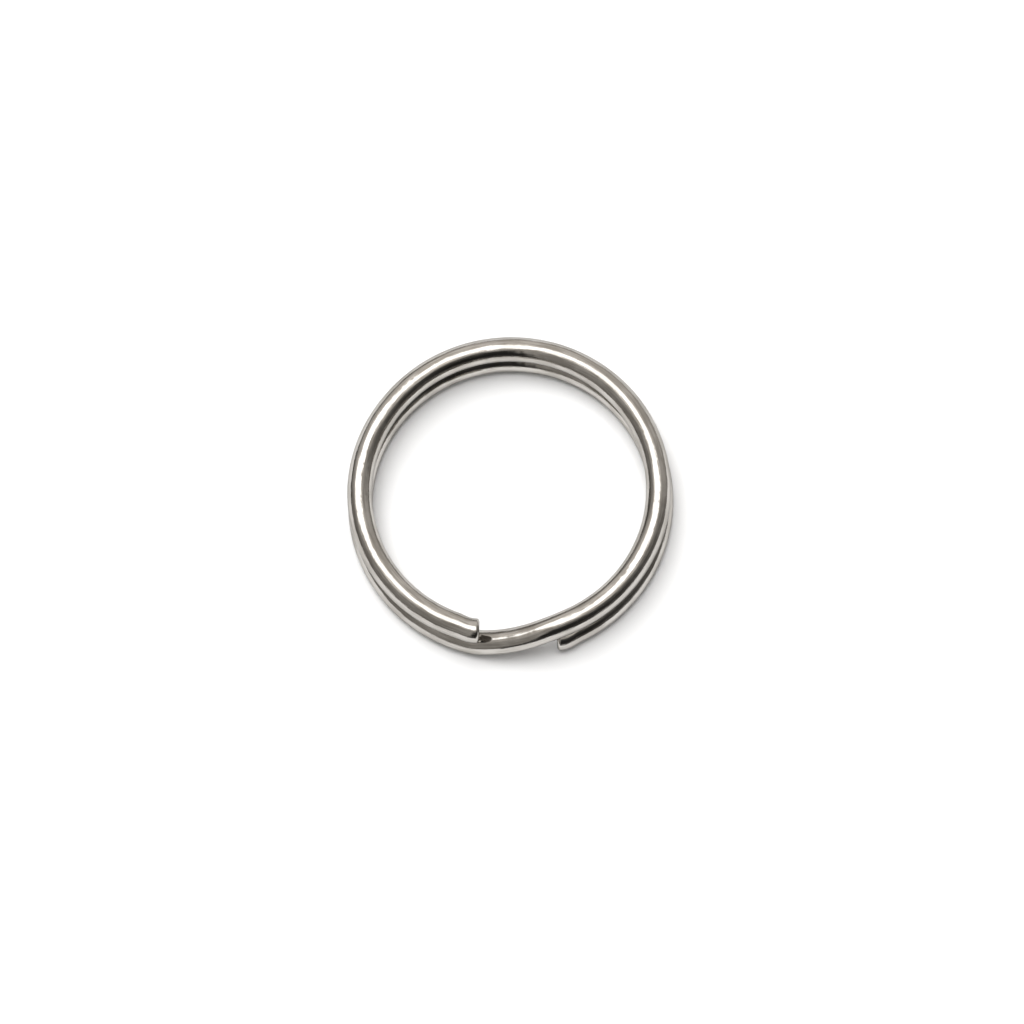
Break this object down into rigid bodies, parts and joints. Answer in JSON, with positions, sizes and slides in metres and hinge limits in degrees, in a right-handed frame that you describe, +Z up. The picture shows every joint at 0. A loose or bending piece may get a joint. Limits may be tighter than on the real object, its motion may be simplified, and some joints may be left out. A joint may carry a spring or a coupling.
{
  "type": "key ring",
  "caption": "Split key ring: bright round wire coiled on itself, with a short climbing bend between its stacked turns and square-cut ends that keys slide past.",
  "frame": {"origin": "centre of the lower turn, on the surface that the ring lies on", "axes": "+Z up along the ring's axis, from the lower turn to the upper one; -Y from the centre to the bend where the wire climbs between the turns; +X along the wire's way through that bend"},
  "size_m": [0.0254, 0.0255, 0.004],
  "materials": {
    "plated_wire": "bright nickel plate, mirror-like, with faint drawing lines and light handling marks"
  },
  "bodies": {
    "root": {"split_ring": "plated_wire"}
  },
  "joints": []
}
